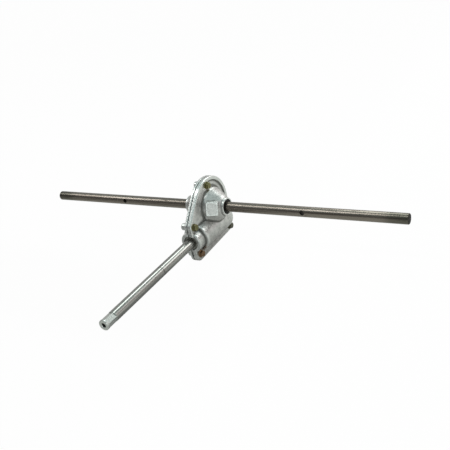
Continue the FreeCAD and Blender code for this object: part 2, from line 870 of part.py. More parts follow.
def auger_shaft():
    """Bar with clip grooves each side of the wheel, a key seat and shear bolt holes. A shallow
    relief outside each seal marks where the ground journal ends."""
    half = s.auger_length / 2
    seat_r = s.shaft_r - s.ring_depth
    relief_r = s.shaft_r - s.relief_depth
    groove_in = ring_x - s.run_gap
    groove_out = ring_x + s.ring_thickness + s.run_gap
    relief_in = case_half + s.relief_gap
    relief_out = relief_in + s.relief_width
    right = [
        (groove_in, s.shaft_r), (groove_in, seat_r), (groove_out, seat_r), (groove_out, s.shaft_r),
        (relief_in, s.shaft_r), (relief_in, relief_r), (relief_out, relief_r),
        (relief_out, s.shaft_r),
        (half - s.end_chamfer, s.shaft_r), (half, s.shaft_r - s.end_chamfer),
    ]
    left = [(-x, r) for x, r in reversed(right)]
    bar = turned("auger_bar", [(-half, 0)] + left + right + [(half, 0)])
    seat = key_disc("key_seat", s.run_gap)
    lean = Rotation(Vector(1, 0, 0), 90 - s.shear_hole_angle.value)
    holes = []
    for name, side in (("left", -1), ("right", 1)):
        drill = rod(f"{name}_shear_drill", s.shear_hole_r, s.shaft_r * 4,
                    (s.shear_hole_x * side, 0, 0), lean)
        foot = -(s.shaft_r * 2)
        drill.setExpression("Placement.Base.y", (foot * -cosine(s.shear_hole_angle)).formula)
        drill.setExpression("Placement.Base.z", (foot * sine(s.shear_hole_angle)).formula)
        holes.append(drill)
    return cut("auger_shaft", bar, joined("auger_tools", [seat] + holes))


def key_top():
    return s.shaft_r + s.key_stand


def key_disc(label, gap):
    """The disc of a Woodruff key, or its seat when a gap is given."""
    radius = s.key_r + gap
    width = s.key_width + gap * 2
    centre_z = key_top() - s.key_height + s.key_r
    return rod(label, radius, width, (0, width / 2, centre_z), Rotation(Vector(1, 0, 0), 90))


def gear_key():
    disc = key_disc("key_blank", Size.of(0))
    above = block("key_trim", s.key_r * 4, s.key_width * 2, s.key_r * 4,
                  (-s.key_r * 2, -s.key_width, key_top()))
    return cut("gear_key", disc, above)


def wheel_blank():
    """Hub, web and rim of the wheel, with a throat that hugs the worm."""
    outline = []
    for side, order in ((1, 1), (-1, -1)):
        half = [
            (s.wheel_hub_half * side, s.shaft_r + s.fit_gap),
            (s.wheel_hub_half * side, s.wheel_hub_r),
            (s.web_half * side, s.wheel_hub_r),
            (s.web_half * side, s.rim_inner_r),
            (s.wheel_half * side, s.rim_inner_r + s.rim_width / 4),
            (s.wheel_half * side, s.wheel_corner_r),
        ][::order]
        outline += half
    blank = turned("wheel_turning", outline)
    throat = doc.addObject("Part::Torus", "wheel_throat")
    throat.Placement = Placement(Vector(0, 0, 0), turn_to_x)
    throat.setExpression("Radius1", s.centre_distance.formula)
    throat.setExpression("Radius2", (worm_root_r + s.root_clearance).formula)
    slot_width = s.key_width + s.run_gap * 2
    slot = block("wheel_keyway", s.wheel_hub_half * 4, slot_width, key_top() + s.run_gap * 2,
                 (-s.wheel_hub_half * 2, -slot_width / 2, 0))
    return cut("wheel_blank", blank, joined("wheel_tools", [throat, slot]))


def involute(angle):
    return math.tan(angle) - angle


def tooth_space():
    """One gap between the teeth, under the wheel, twisted to the lead of the worm."""
    pitch_r = wheel_pitch_r.value
    pressure = math.radians(s.pressure_angle.value)
    base_r = pitch_r * math.cos(pressure)
    floor_r = (s.centre_distance - worm_outer_r - s.root_clearance).value
    top_r = s.wheel_corner_r.value + module.value / 2
    half_gap = (lead.value + s.backlash.value) / 4 / pitch_r
    flank = [(floor_r, half_gap - involute(pressure))]
    steps = 5
    first_r = max(base_r, floor_r)
    for i in range(steps):
        r = first_r + (top_r - first_r) * i / (steps - 1)
        opening = half_gap + involute(math.acos(base_r / r)) - involute(pressure)
        flank.append((r, opening))
    lead_slope = lead.value / (2 * math.pi * s.worm_pitch_r.value)
    reach = s.wheel_half.value + s.backlash.value
    sections = []
    for x in (-reach, 0, reach):
        twist = x * lead_slope / pitch_r
        corners = []
        for r, opening in flank + [(r, -opening) for r, opening in reversed(flank)]:
            turn = twist + opening
            corners.append(Vector(x, r * math.sin(turn), -r * math.cos(turn)))
        sections.append(Part.makePolygon(corners + corners[:1]))
    return Part.makeLoft(sections, True, True)


def worm_gear():
    blank = wheel_blank()
    gap = tooth_space()
    count = int(s.tooth_count.value)
    gaps = []
    for k in range(count):
        turned_gap = gap.copy()
        turned_gap.rotate(Vector(0, 0, 0), Vector(1, 0, 0), 360 * k / count)
        gaps.append(turned_gap)
    return cut("worm_gear", blank, plain("tooth_spaces", Part.makeCompound(gaps)))


def snap_ring():
    """An open ring for the clip groove, at the joint's origin."""
    inner_r = s.shaft_r - s.ring_depth + s.run_gap
    outer_r = s.shaft_r + s.ring_width - s.ring_depth
    ring = turned("ring_blank", [
        (0, inner_r),
        (s.ring_thickness, inner_r),
        (s.ring_thickness, outer_r),
        (0, outer_r),
    ])
    mouth = block("ring_mouth", s.ring_thickness * 4, s.ring_width, s.shaft_r * 2,
                  (-s.ring_thickness, -s.ring_width / 2, -s.shaft_r * 2))
    return cut("snap_ring", ring, mouth)


def auger_pieces():
    ring = snap_ring()
    far_x = -(ring_x + s.ring_thickness)
    rings = copies("gear_snap_rings", ring, [
        Placement(Vector(ring_x.value, 0, 0), Rotation()),
        Placement(Vector(far_x.value, 0, 0), Rotation()),
    ])
    washers = []
    for name, side in (("right", 1), ("left", -1)):
        washers.append(turned(f"{name}_washer", [
            (washer_x * side, bore_r),
            ((washer_x + s.washer_thickness) * side, bore_r),
            ((washer_x + s.washer_thickness) * side, s.washer_r),
            (washer_x * side, s.washer_r),
        ]))
    return [auger_shaft(), worm_gear(), gear_key(), rings, grouped("auger_thrust_washers", washers)]


# Input shaft and what turns with it


def pin_y():
    return worm_front_y + s.collar_length / 2


def input_shaft():
    """Ground bar with a clip groove, a hexagon milled short of the free end and a tapped hole."""
    tip = -s.input_tip
    collar = tip + s.end_collar
    shoulder = collar + s.hex_length
    tail = rear_bushing_end_y - s.play * 5
    groove = -s.clip_groove_y
    seat_r = s.shaft_r - s.clip_groove_depth
    relief_r = s.shaft_r - s.relief_depth
    relief_rear = s.upper_ear_y - s.upper_ear_r - s.relief_gap
    relief_front = relief_rear - s.relief_width
    bar = turned("input_bar", [
        (tip, 0),
        (tip, s.shaft_r - s.tip_chamfer),
        (tip + s.tip_chamfer, s.shaft_r),
        (groove - s.clip_groove_width / 2, s.shaft_r),
        (groove - s.clip_groove_width / 2, seat_r),
        (groove + s.clip_groove_width / 2, seat_r),
        (groove + s.clip_groove_width / 2, s.shaft_r),
        (relief_front, s.shaft_r),
        (relief_front, relief_r),
        (relief_rear, relief_r),
        (relief_rear, s.shaft_r),
        (tail - s.end_chamfer, s.shaft_r),
        (tail, s.shaft_r - s.end_chamfer),
        (tail, 0),
    ], along="Y", z=worm_z)
    sleeve = rod("hex_sleeve", s.shaft_r * 2, s.hex_length, (0, shoulder, worm_z),
                 Rotation(Vector(1, 0, 0), 90))
    spin = Rotation(Vector(0, 1, 0), 30 - s.hex_angle.value)
    core = hex_prism("hex_core", s.hex_flats, s.hex_length * 3, (0, collar - s.hex_length, worm_z),
                     spin * Rotation(Vector(1, 0, 0), -90))
    flats = cut("hex_milling", sleeve, core)
    tap = turned("tap_drill", [
        (tip, 0),
        (tip, s.tap_mouth_r),
        (tip + s.tap_mouth_r - s.tap_r, s.tap_r),
        (tip + s.tap_depth, s.tap_r),
        (tip + s.tap_depth, 0),
    ], along="Y", z=worm_z)
    cross = rod("pin_drill", s.pin_r + s.fit_gap, s.shaft_r * 4,
                (-(s.shaft_r * 2), pin_y(), worm_z), turn_to_x)
    return cut("input_shaft", bar, joined("input_tools", [flats, tap, cross]))


def worm_thread():
    """A right-hand thread along +Y, with a crest over the input shaft at the wheel's centre."""
    pitch = lead.value
    root_r, outer_r = worm_root_r.value, worm_outer_r.value
    slope = math.tan(math.radians(s.pressure_angle.value))
    half_pitch_width = (pitch - s.backlash.value) / 4
    turns = math.ceil(s.worm_half.value / pitch) + 1
    start = -turns * pitch
    sunk_r = root_r - s.root_clearance.value

    def half_width(r):
        return half_pitch_width - (r - s.worm_pitch_r.value) * slope

    corners = []
    for r, side in ((sunk_r, -1), (outer_r, -1), (outer_r, 1), (sunk_r, 1)):
        corners.append(Vector(r, 0, start + half_width(r) * side))
    profile = Part.makePolygon(corners + corners[:1])
    spine = Part.makeHelix(pitch, 2 * turns * pitch, root_r)
    spine.translate(Vector(0, 0, start))
    thread = Part.Wire(spine.Edges).makePipeShell([profile], True, True)
    half = (s.worm_half - s.backlash).value
    envelope = Part.makeCylinder(outer_r * 2, half * 2, Vector(0, 0, -half))
    return thread.common(envelope)


def worm():
    core = turned("worm_core", [
        (worm_front_y, 0),
        (worm_rear_y, 0),
        (worm_rear_y, worm_root_r),
        (-s.worm_half, worm_root_r),
        (-s.worm_half, s.collar_r),
        (worm_front_y, s.collar_r),
    ], along="Y", z=worm_z)
    # local X to world Z and local Z to world Y, which keeps the hand of the thread
    stand = Rotation(Vector(1, 1, 1), -120)
    thread = plain("worm_thread", worm_thread())
    thread.Placement = Placement(Vector(0, 0, worm_z.value), stand)
    cross = rod("worm_pin_hole", s.pin_r + s.fit_gap, s.shaft_r * 4,
                (-(s.shaft_r * 2), pin_y(), worm_z), turn_to_x)
    bore = rod("worm_bore", s.shaft_r + s.fit_gap, s.input_tip, (0, s.input_tip / 2, worm_z),
               Rotation(Vector(1, 0, 0), 90))
    blank = joined("worm_blank", [core, thread], refine=False)
    return cut("worm", cut("worm_bored", blank, bore), cross)


def input_pieces():
    pin = rod("worm_pin", s.pin_r, s.collar_r * 2 - s.end_chamfer,
              (-(s.collar_r - s.end_chamfer / 2), pin_y(), worm_z), turn_to_x)
    return [input_shaft(), worm(), pin]


def bearings_and_seals():
    return [
        flanged_bushing("right_bushing", 1),
        flanged_bushing("left_bushing", -1),
        plain_bushing("front_bushing", front_bushing_y, front_bushing_y + s.front_bushing_length),
        plain_bushing("rear_bushing", chamber_rear_y, rear_bushing_end_y),
        turned("right_seal", seal_outline(seal_x, 1)),
        turned("left_seal", seal_outline(-seal_x, -1)),
        turned("input_seal", seal_outline(front_seal_y + s.seal_width, -1), along="Y", z=worm_z),
        garter_springs(),
    ]


nodes = casing() + [case_screws()] + bearings_and_seals() + thrust_bearings()
nodes += auger_pieces() + input_pieces()
doc.recompute()

for item in doc.Objects:
    if "Invalid" in item.State or "Error" in item.State:
        raise RuntimeError(f"{item.Label} did not compute: {item.State}")

os.makedirs("parts", exist_ok=True)
for node in nodes:
    shape = node.Shape
    if shape.isNull() or not shape.isValid() or not shape.Solids:
        raise RuntimeError(f"{node.Label} has no sound shape")
    shape.exportStep(f"parts/{node.Label}.step")
    print(f"{node.Label}: {len(shape.Solids)} solid(s), {shape.Volume:.0f} mm3")
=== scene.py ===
import json
import math

import bmesh
import bpy
import numpy as np
from mathutils import Matrix, Vector


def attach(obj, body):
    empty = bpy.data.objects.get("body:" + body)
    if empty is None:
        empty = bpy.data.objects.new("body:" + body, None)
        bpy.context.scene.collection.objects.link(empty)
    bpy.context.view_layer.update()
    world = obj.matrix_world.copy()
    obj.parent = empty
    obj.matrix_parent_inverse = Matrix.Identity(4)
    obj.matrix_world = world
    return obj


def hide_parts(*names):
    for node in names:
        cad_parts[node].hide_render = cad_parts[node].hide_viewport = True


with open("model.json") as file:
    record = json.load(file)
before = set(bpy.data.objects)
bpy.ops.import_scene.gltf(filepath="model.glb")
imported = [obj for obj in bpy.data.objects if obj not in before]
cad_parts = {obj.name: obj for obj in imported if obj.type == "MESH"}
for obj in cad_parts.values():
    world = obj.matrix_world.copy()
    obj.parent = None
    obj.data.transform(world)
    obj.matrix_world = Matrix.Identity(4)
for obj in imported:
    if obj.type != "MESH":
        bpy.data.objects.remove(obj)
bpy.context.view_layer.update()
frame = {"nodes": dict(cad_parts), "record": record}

nodes = frame["nodes"]
mm = 0.001
print("frame loaded:", len(nodes), "nodes")

# The camera of the photograph, found from the shafts, screws and casing outline

shot = {
    "azimuth": 34.695,  # degrees round from the input shaft towards the right shaft end
    "elevation": 26.003,
    "roll": -12.026,
    "aside": -31.41,  # mm from the lens axis to the wheel's centre
    "above": 38.05,
    "distance": 1255.62,
    "lens": 52.07,
    "sensor": 36,
    "nearest": 10,  # mm from the lens to where it starts to see
}


def placeCamera():
    azimuth, elevation, roll = (math.radians(shot[key]) for key in ("azimuth", "elevation", "roll"))
    back = Vector((
        math.sin(azimuth) * math.cos(elevation),
        -math.cos(azimuth) * math.cos(elevation),
        math.sin(elevation),
    ))
    level = Vector((math.cos(azimuth), math.sin(azimuth), 0))
    upright = back.cross(level)
    across = math.cos(roll) * level + math.sin(roll) * upright
    up = -math.sin(roll) * level + math.cos(roll) * upright
    place = (-shot["aside"] * across - shot["above"] * up + shot["distance"] * back) * mm
    lens = bpy.data.cameras.new("photoCamera")
    lens.lens = shot["lens"]
    lens.sensor_width = shot["sensor"]
    lens.clip_start = shot["nearest"] * mm
    camera = bpy.data.objects.new("photoCamera", lens)
    camera.matrix_world = Matrix((
        (across.x, up.x, back.x, place.x),
        (across.y, up.y, back.y, place.y),
        (across.z, up.z, back.z, place.z),
        (0, 0, 0, 1),
    ))
    bpy.context.scene.collection.objects.link(camera)
    bpy.context.scene.camera = camera


placeCamera()
bpy.context.scene.view_settings.view_transform = "Standard"


# Shader maths as plain sums and products


class Wire:
    def __init__(self, recipe, socket):
        self.recipe = recipe
        self.socket = socket

    def maths(self, operation, first, second):
        return self.recipe.add("ShaderNodeMath", {"operation": operation}, {0: first, 1: second})

    def __add__(self, other):
        return self.maths("ADD", self, other)

    __radd__ = __add__

    def __sub__(self, other):
        return self.maths("SUBTRACT", self, other)

    def __rsub__(self, other):
        return self.maths("SUBTRACT", other, self)

    def __mul__(self, other):
        return self.maths("MULTIPLY", self, other)

    __rmul__ = __mul__

    # 0 below low, 1 above high, smooth between
    def rise(self, low, high):
        return self.recipe.add(
            "ShaderNodeMapRange",
            {"interpolation_type": "SMOOTHSTEP"},
            {"Value": self, "From Min": low, "From Max": high},
        )

    # the same with its two ends spread evenly about a value
    def riseAbout(self, value, spread):
        return self.rise(value - spread, value + spread)


class Recipe:
    def __init__(self, holder):
        self.material = bpy.data.materials.new(holder) if isinstance(holder, str) else holder
        self.material.use_nodes = True
        self.tree = self.material.node_tree
        self.tree.nodes.clear()

    # settings come first, then values or wires go into the sockets
    def add(self, kind, settings=None, inputs=None, output=0):
        node = self.tree.nodes.new(kind)
        for key, value in (settings or {}).items():
            setattr(node, key, value)
        for key, value in (inputs or {}).items():
            if isinstance(value, Wire):
                self.tree.links.new(value.socket, node.inputs[key])
            else:
                node.inputs[key].default_value = value
        return Wire(self, node.outputs[output]) if node.outputs else None

    # the point on the object in metres, each axis times its scale
    def place(self, scale=(1, 1, 1)):
        where = self.add("ShaderNodeTexCoord", output="Object")
        return self.add("ShaderNodeMapping", {}, {"Vector": where, "Scale": scale})

    # the x, y and z of a point or a direction
    def axes(self, where):
        return [self.add("ShaderNodeSeparateXYZ", {}, {0: where}, output=axis) for axis in range(3)]

    # metres from the origin along the axes that are kept
    def distance(self, kept):
        return self.add("ShaderNodeVectorMath", {"operation": "LENGTH"}, {0: self.place(kept)}, output=1)

    # cloud of noise; size is the width of its patches in millimetres along x, y and z
    def noise(self, size, detail=3, roughness=0.5):
        sizes = size if isinstance(size, tuple) else (size, size, size)
        scale = tuple(1 / (one * mm) for one in sizes)
        return self.add(
            "ShaderNodeTexNoise", {},
            {"Vector": self.place(scale), "Scale": 1, "Detail": detail, "Roughness": roughness},
        )

    # the first colour where the mask is 0, the second where it is 1
    def blend(self, mask, first, second):
        kind = {"data_type": "RGBA"}
        colours = [one if isinstance(one, Wire) else (*one, 1) for one in (first, second)]
        return self.add("ShaderNodeMix", kind, {0: mask, 6: colours[0], 7: colours[1]}, output=2)

    def rays(self, kind):
        return self.add("ShaderNodeLightPath", output=kind)

    def attribute(self, name):
        return self.add("ShaderNodeAttribute", {"attribute_name": name}, output="Fac")

    # depth in millimetres; below is the bump that this one lies on
    def bump(self, height, depth, below=None):
        inputs = {"Height": height, "Distance": depth * mm, "Strength": 1}
        if below:
            inputs["Normal"] = below
        return self.add("ShaderNodeBump", {}, inputs)

    # an underscore in a socket's name stands for a space
    def finish(self, **sockets):
        inputs = {key.replace("_", " "): value for key, value in sockets.items()}
        shader = self.add("ShaderNodeBsdfPrincipled", {}, inputs)
        self.add("ShaderNodeOutputMaterial", {}, {"Surface": shader})
        return self.material

    # the surface or room shows its lit shader, and plain white to the share of rays that see it so
    def showWhite(self, seen, lit, whiteKind, outputKind):
        white = self.add(whiteKind, {}, {"Color": (1, 1, 1, 1), "Strength": 1})
        both = self.add("ShaderNodeMixShader", {}, {0: seen, 1: lit, 2: white})
        self.add(outputKind, {}, {"Surface": both})


# Finishes: an Edge is the two levels of a noise between which its mark comes in,
# a Share is how far the mark takes the colour, and a Dull is what it adds to the roughness

middle = 0.5  # the level that a noise lies about

castingFinish = {
    "pale": (0.71, 0.70, 0.685),
    "grey": (0.45, 0.445, 0.435),
    # pale colour of worn crests, which is also a painted highlight along the edges
    "wearAndHighlight": (0.84, 0.86, 0.84),
    # dark colour of the specks of grime, and of the painted shade in hollows and corners
    "grimeAndShade": (0.10, 0.10, 0.09),
    "patch": 11,  # mm across a patch of paler skin
    "patchEdge": (0.38, 0.62),
    "patchShare": 0.5,  # the rest of the way from grey to pale is blotches
    "blotch": 3.2,  # mm
    "blotchEdge": (0.3, 0.7),
    "blotchDepth": 0.16,  # mm
    "freckle": 2.0,  # mm across a speck of grime
    "freckleEdge": (0.60, 0.72),
    "freckleShare": 0.5,
    "grain": 1.1,  # mm across the pebbled skin
    "grainDepth": 0.08,  # mm
    "cornerEdge": (0.12, 0.7),  # levels of the hollow attribute, 1 in a deep hollow, -1 on a crest
    "cornerFray": 0.2,  # how much of the grain frays that edge
    "cornerShadeShare": 0.8,
    "cornerDull": 0.15,
    "crestEdge": (0.12, 0.6),
    "crestFray": 0.3,  # how much of the blotches frays that edge
    "crestHighlightShare": 0.5,
    "crestPolish": 0.06,
    "smooth": 0.30,  # roughness between the blotches
    "rough": 0.42,  # and in them
    "roughEdge": (0.35, 0.65),
}


def makeCastingFinish():
    use = castingFinish
    paint = Recipe("castAluminium")
    patches = paint.noise(use["patch"], detail=4, roughness=0.6).rise(*use["patchEdge"])
    grain = paint.noise(use["grain"], detail=2, roughness=0.6)
    blotches = paint.noise(use["blotch"], detail=4, roughness=0.65)
    freckles = paint.noise(use["freckle"], detail=3, roughness=0.7).rise(*use["freckleEdge"])
    hollow = paint.attribute("hollow")
    corner = (hollow + (grain - middle) * use["cornerFray"]).rise(*use["cornerEdge"])
    crest = ((blotches - middle) * use["crestFray"] - hollow).rise(*use["crestEdge"])
    paleness = patches * use["patchShare"] + blotches.rise(*use["blotchEdge"]) * (1 - use["patchShare"])
    skin = paint.blend(paleness, use["grey"], use["pale"])
    # crests go towards the pale colour: wear, and a painted highlight along the edges
    skin = paint.blend(crest * use["crestHighlightShare"], skin, use["wearAndHighlight"])
    skin = paint.blend(freckles * use["freckleShare"], skin, use["grimeAndShade"])
    # hollows and corners go towards the dark colour: painted shade, with the grime that gathers there
    skin = paint.blend(corner * use["cornerShadeShare"], skin, use["grimeAndShade"])
    gloss = use["smooth"] + (use["rough"] - use["smooth"]) * blotches.rise(*use["roughEdge"])
    gloss = gloss + corner * use["cornerDull"] - crest * use["crestPolish"]
    pebbles = paint.bump(grain, use["grainDepth"])
    lumps = paint.bump(blotches, use["blotchDepth"], below=pebbles)
    return paint.finish(Base_Color=skin, Metallic=1.0, Roughness=gloss, Normal=lumps)


darkShaftFinish = {
    "light": (0.28, 0.247, 0.217),
    "dark": (0.165, 0.141, 0.12),
    "streak": (90, 0.9, 0.9),  # mm along and across a drawing mark
    "streakDull": 0.12,
    "streakDepth": 0.05,  # mm
    "band": (160, 3.2, 3.2),
    "bandEdge": (0.35, 0.68),
    "bandShare": 0.55,  # the rest of the way from dark to light is streaks
    "scale": (0.05, 0.038, 0.03),
    "scaleSize": (22, 3.0, 3.0),
    "scaleEdge": (0.57, 0.68),
    "scaleShare": 0.6,
    "scaleDull": 0.22,
    "pit": 0.7,  # mm
    "pitDepth": 0.02,
    # painted shade: the inside of the shear holes is coloured near black
    "hole": (0.012, 0.009, 0.007),  # inside the shear holes
    "holeEdge": (8.7, 9.3),  # mm from the shaft's axis
    "holeShare": 0.85,
    "holeDull": 0.35,
    "end": (0.05, 0.055, 0.04),  # greener and darker towards the sawn ends
    "endEdge": (335, 365),  # mm from the middle
    "endShare": 0.55,  # all of the way where there is scale
    "gloss": 0.2,
}


def makeDarkShaftFinish():
    use = darkShaftFinish
    paint = Recipe("coldDrawnBar")
    streaks = paint.noise(use["streak"], detail=5, roughness=0.65)
    bands = paint.noise(use["band"], detail=3, roughness=0.5).rise(*use["bandEdge"])
    scale = paint.noise(use["scaleSize"], detail=5, roughness=0.7).rise(*use["scaleEdge"])
    pits = paint.noise(use["pit"], detail=2, roughness=0.6)
    radius = paint.distance((0, 1, 1))
    length = paint.distance((1, 0, 0))
    hole = 1 - radius.rise(*(edge * mm for edge in use["holeEdge"]))
    ends = length.rise(*(edge * mm for edge in use["endEdge"]))
    lightness = bands * use["bandShare"] + streaks * (1 - use["bandShare"])
    metal = paint.blend(lightness, use["dark"], use["light"])
    metal = paint.blend(scale * use["scaleShare"], metal, use["scale"])
    metal = paint.blend(ends * (use["endShare"] + scale * (1 - use["endShare"])), metal, use["end"])
    # painted shade inside the shear holes
    metal = paint.blend(hole * use["holeShare"], metal, use["hole"])
    gloss = use["gloss"] + streaks * use["streakDull"] + scale * use["scaleDull"] + hole * use["holeDull"]
    lines = paint.bump(streaks, use["streakDepth"])
    surface = paint.bump(pits, use["pitDepth"], below=lines)
    return paint.finish(Base_Color=metal, Metallic=1.0, Roughness=gloss, Normal=surface)


brightShaftFinish = {
    "light": (0.43, 0.425, 0.405),
    "dark": (0.27, 0.262, 0.248),
    "drawn": (1.6, 120, 1.6),  # mm across and along a drawing mark
    "drawnEdge": (0.3, 0.7),
    "drawnDepth": 0.02,  # mm
    "ring": (9, 0.16, 9),  # mm round and across a grinding mark
    "ringDull": 0.1,
    "ringDepth": 0.012,
    "stain": (0.17, 0.15, 0.125),
    "stainSize": (7, 26, 7),
    "stainEdge": (0.6, 0.74),
    "stainShare": 0.4,
    "stainDull": 0.2,
    "milled": (0.62, 0.635, 0.61),  # the freshly cut hexagon and tip
    "milledEdge": (318.5, 319.5),  # mm from the wheel's middle
    "milledShare": 0.85,
    "milledDull": 0.12,
    "gloss": 0.15,
}


def makeBrightShaftFinish():
    use = brightShaftFinish
    paint = Recipe("groundBar")
    rings = paint.noise(use["ring"], detail=2, roughness=0.5)
    drawn = paint.noise(use["drawn"], detail=3, roughness=0.5)
    stain = paint.noise(use["stainSize"], detail=5, roughness=0.7).rise(*use["stainEdge"])
    length = paint.distance((0, 1, 0))
    milled = length.rise(*(edge * mm for edge in use["milledEdge"]))
    metal = paint.blend(drawn.rise(*use["drawnEdge"]), use["dark"], use["light"])
    metal = paint.blend(stain * use["stainShare"], metal, use["stain"])
    metal = paint.blend(milled * use["milledShare"], metal, use["milled"])
    gloss = use["gloss"] + rings * use["ringDull"] + stain * use["stainDull"] + milled * use["milledDull"]
    lines = paint.bump(drawn, use["drawnDepth"])
    surface = paint.bump(rings, use["ringDepth"], below=lines)
    return paint.finish(Base_Color=metal, Metallic=1.0, Roughness=gloss, Normal=surface)


# the front lower head has kept a copper film, and the rear one is dull grey zinc, darkened further as
# painted shade
zincFinish = {
    "olive": (0.13, 0.12, 0.05),
    "straw": (0.24, 0.22, 0.11),
    "wash": 5,  # mm across a change from olive to straw
    "washEdge": (0.35, 0.65),
    "copper": (0.29, 0.165, 0.10),
    "copperBefore": -35,  # mm, the y that it lies in front of
    "copperBelow": -55,  # mm, the z that it lies below
    "copperShare": (0.5, 0.6),  # at least, and more where the head is worn
    "dullAndShaded": (0.12, 0.118, 0.10),
    "dullBehind": 20,  # mm, the y that it lies behind
    "dullShare": 0.8,
    "soft": 4,  # mm each side of these places
    "wear": 1.2,  # mm
    "wearDull": 0.2,
    "wearDepth": 0.03,
    "gloss": 0.1,
    "metallic": 0.95,
}


def makeZincFinish():
    use = zincFinish
    paint = Recipe("yellowZinc")
    soft = use["soft"] * mm
    wash = paint.noise(use["wash"], detail=3, roughness=0.6)
    wear = paint.noise(use["wear"], detail=4, roughness=0.7)
    away, height = paint.axes(paint.place())[1:]
    front = 1 - away.riseAbout(use["copperBefore"] * mm, soft)
    low = 1 - height.riseAbout(use["copperBelow"] * mm, soft)
    dullAndShaded = away.riseAbout(use["dullBehind"] * mm, soft)
    least, more = use["copperShare"]
    plate = paint.blend(wash.rise(*use["washEdge"]), use["olive"], use["straw"])
    plate = paint.blend(front * low * (least + wear * more), plate, use["copper"])
    # the rear head goes grey and darker: dull zinc, and painted shade
    plate = paint.blend(dullAndShaded * use["dullShare"], plate, use["dullAndShaded"])
    return paint.finish(
        Base_Color=plate, Metallic=use["metallic"], Roughness=use["gloss"] + wear * use["wearDull"],
        Normal=paint.bump(wear, use["wearDepth"]),
    )


rubbers = {
    "gasket": {
        "name": "blackGasket", "colour": (0.02, 0.02, 0.02), "gloss": 0.6, "shine": 0.5,
    },
    "seal_rubber": {
        "name": "blackSealRubber", "colour": (0.006, 0.006, 0.006), "gloss": 0.4, "shine": 0.2,
    },
    "dusty_seal": {
        "name": "dustySealRubber", "colour": (0.32, 0.31, 0.28), "gloss": 0.45, "shine": 0.5,
    },
}

rubberSkin = {
    "bloom": 3,  # mm across a pale bloom
    "bloomEdge": (0.45, 0.75),
    "bloomShare": 0.5,
    "bloomTimes": 2,  # what bloom does to the colour
    "bloomPlus": 0.004,
    "bloomDull": 0.2,
    "grain": 0.5,  # mm
    "grainDepth": 0.02,
}


def makeRubber(rubber):
    use = rubberSkin
    paint = Recipe(rubber["name"])
    bloom = paint.noise(use["bloom"], detail=3, roughness=0.6)
    grain = paint.noise(use["grain"], detail=2)
    bloomed = tuple(one * use["bloomTimes"] + use["bloomPlus"] for one in rubber["colour"])
    tint = paint.blend(bloom.rise(*use["bloomEdge"]) * use["bloomShare"], rubber["colour"], bloomed)
    return paint.finish(
        Base_Color=tint, Roughness=rubber["gloss"] + bloom * use["bloomDull"],
        Specular_IOR_Level=rubber["shine"], Normal=paint.bump(grain, use["grainDepth"]),
    )


plainMetals = {
    "bronze": {
        "name": "machinedBronze", "light": (0.72, 0.53, 0.30), "dark": (0.50, 0.34, 0.18),
        "gloss": 0.25, "mark": (3, 3, 0.4),
    },
    "hard_steel": {
        "name": "groundSteel", "light": (0.66, 0.66, 0.66), "dark": (0.42, 0.42, 0.43),
        "gloss": 0.2, "mark": (0.5, 3, 3),
    },
    "spring_steel": {
        "name": "springSteel", "light": (0.34, 0.35, 0.37), "dark": (0.2, 0.2, 0.21),
        "gloss": 0.3, "mark": 1.5,
    },
}

plainMark = {
    "edge": (0.3, 0.7),
    "dullAndShaded": 0.15,
    "depth": 0.015,  # mm
}


def makePlainMetal(metal):
    paint = Recipe(metal["name"])
    marks = paint.noise(metal["mark"], detail=4, roughness=0.6)
    return paint.finish(
        Base_Color=paint.blend(marks.rise(*plainMark["edge"]), metal["dark"], metal["light"]),
        Metallic=1.0, Roughness=metal["gloss"] + marks * plainMark["dullAndShaded"],
        Normal=paint.bump(marks, plainMark["depth"]),
    )


finishes = {
    "casting": makeCastingFinish(),
    "dark_shaft": makeDarkShaftFinish(),
    "bright_shaft": makeBrightShaftFinish(),
    "yellow_zinc": makeZincFinish(),
    **{slot: makeRubber(rubber) for slot, rubber in rubbers.items()},
    **{slot: makePlainMetal(metal) for slot, metal in plainMetals.items()},
}

for part in frame["record"]["subparts"]:
    node = nodes[part["node"]]
    node.data.materials.clear()
    finish = "dusty_seal" if part["node"] == "input_seal" else part["material_slot"]
    node.data.materials.append(finishes[finish])
print("finishes made:", len(finishes))


# Pieces


def addPiece(name, mesh, slot, body):
    piece = bpy.data.objects.new(name, mesh)
    bpy.context.scene.collection.objects.link(piece)
    mesh.materials.clear()
    mesh.materials.append(finishes[slot])
    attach(piece, body)
    return piece


casting = {
    "weld": 1e-6,  # metres between points that are one
    "skin": 0.85,  # mm between the points of the cast skin
    "relax": 8,  # rounds that soften its edges
    "spread": 60,  # rounds that tell hollows from crests
    "pull": 0.6,  # share of the way to the neighbours in a round
    "push": 0.53,  # and back in the next
    "hollowDepth": 1.0,  # mm that counts as a deep hollow
}


# every point moves towards the mean of its neighbours, then back a little less far,
# so edges soften while walls keep their place; without keep it never moves back
def relaxed(points, edges, rounds, keep=True):
    count = len(points)
    ends = np.concatenate([edges[:, 0], edges[:, 1]])
    others = np.concatenate([edges[:, 1], edges[:, 0]])
    share = np.maximum(np.bincount(ends, minlength=count), 1)[:, None]
    for turn in range(rounds):
        mean = np.stack([
            np.bincount(ends, weights=points[others, axis], minlength=count) for axis in range(3)
        ], 1) / share
        step = casting["pull"] if turn % 2 == 0 or not keep else -casting["push"]
        points = points + (mean - points) * step
    return points


# a row of values for each item, such as the place of each point
def readOut(items, name, width, kind=np.float64):
    values = np.empty(len(items) * width, dtype=kind)
    items.foreach_get(name, values)
    return values.reshape(-1, width)


